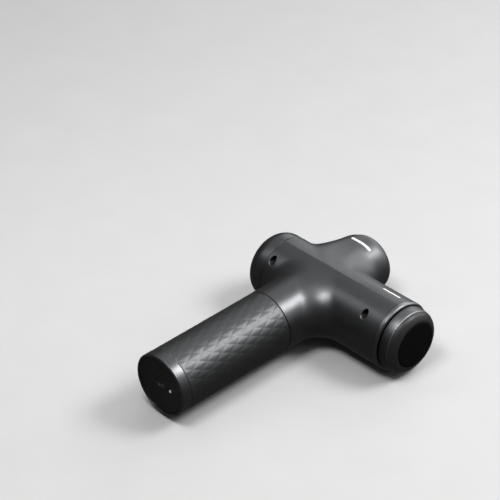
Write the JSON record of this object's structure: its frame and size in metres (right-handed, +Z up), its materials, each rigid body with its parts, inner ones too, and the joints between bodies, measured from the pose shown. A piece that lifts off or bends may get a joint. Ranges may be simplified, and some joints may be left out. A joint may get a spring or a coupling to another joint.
{
  "type": "massage gun",
  "caption": "Hand-held percussion massage gun with a cylindrical barrel, a quilted round handle, a motor dome opposite it and a flat round massage head.",
  "frame": {"origin": "middle of the footprint, on the surface the barrel lies on", "axes": "+X along the barrel towards the massage head, +Y from the handle towards the motor dome, +Z up with the gun on its side"},
  "size_m": [0.1652, 0.2356, 0.058],
  "materials": {
    "handle_shell": "satin dark grey paint",
    "dome_shell": "satin mid grey paint",
    "satin_metal": "satin, dark anodised",
    "dark_plastic": "fine matte",
    "silicone": "matte, quilted diamonds",
    "bright_metal": "polished",
    "steel": "machined",
    "aluminium": "cast",
    "bronze": "sintered",
    "rubber": "matte",
    "copper_wire": "enamelled wire",
    "magnet": "plated",
    "circuit_board": "lacquered",
    "cell_wrap": "shrink-wrapped can",
    "clear_light": "translucent",
    "gloss_panel": "gloss black"
  },
  "bodies": {
    "housing": {"handle_side_housing": "handle_shell", "rear_cap": "handle_shell", "dome_side_housing": "dome_shell", "front_bezel": "satin_metal", "handle_end_cap": "satin_metal", "button_switch": "dark_plastic", "dome_vent_cover": "dark_plastic", "handle_core": "dark_plastic", "handle_end_plate": "dark_plastic", "battery_holder_upper": "dark_plastic", "battery_holder_lower": "dark_plastic", "controller_capacitor": "dark_plastic", "grip_sleeve": "silicone", "motor_bearing_front": "bright_metal", "motor_bearing_rear": "bright_metal", "usb_c_inlet": "bright_metal", "housing_screw_1": "steel", "housing_screw_2": "steel", "housing_screw_3": "steel", "housing_screw_4": "steel", "stator_core": "steel", "motor_screw_1": "steel", "motor_screw_2": "steel", "motor_screw_3": "steel", "bush_holder": "aluminium", "motor_mount": "aluminium", "heat_sink": "aluminium", "piston_bush": "bronze", "dust_seal": "rubber", "stator_winding": "copper_wire", "display_board": "circuit_board", "charge_board": "circuit_board", "controller_board": "circuit_board", "battery_cell_1": "cell_wrap", "battery_cell_2": "cell_wrap", "battery_cell_3": "cell_wrap", "light_arc": "clear_light", "charge_light": "clear_light", "display_panel": "gloss_panel"},
    "crank": {"crank_wheel": "steel", "counterweight": "steel", "motor_shaft": "bright_metal", "rotor_can": "steel", "rotor_magnets": "magnet"},
    "piston": {"piston": "steel", "wrist_pin": "bright_metal"},
    "connecting_rod": {"connecting_rod": "aluminium", "small_end_bush": "bronze", "big_end_bearing": "bright_metal", "crank_pin": "bright_metal"},
    "massage_head": {"head_base": "satin_metal", "head_trim_ring": "bright_metal", "head_cap": "dark_plastic", "head_face_pad": "rubber", "head_stem": "dark_plastic", "head_o_ring": "rubber"},
    "power_button": {"power_button": "dark_plastic"}
  },
  "joints": [
    {"name": "crank_spin", "type": "hinge", "parent": "housing", "child": "crank", "pos_m": [-0.0222, 0.05555, 0.029], "axis": [0, 1, 0], "continuous": true},
    {"name": "piston_stroke", "type": "slide", "parent": "housing", "child": "piston", "axis": [1, 0, 0], "range_m": [0, 0.012]},
    {"name": "con_rod_swing", "type": "hinge", "parent": "piston", "child": "connecting_rod", "pos_m": [0.0138, 0.05555, 0.029], "axis": [0, 1, 0], "range_deg": [-8.2, 8.2]},
    {"name": "head_release", "type": "slide", "parent": "piston", "child": "massage_head", "axis": [1, 0, 0], "range_m": [0, 0.025]},
    {"name": "button_press", "type": "slide", "parent": "housing", "child": "power_button", "axis": [1, 0, 0], "range_m": [0, 0.001], "stiffness_N_per_m": 400}
  ]
}
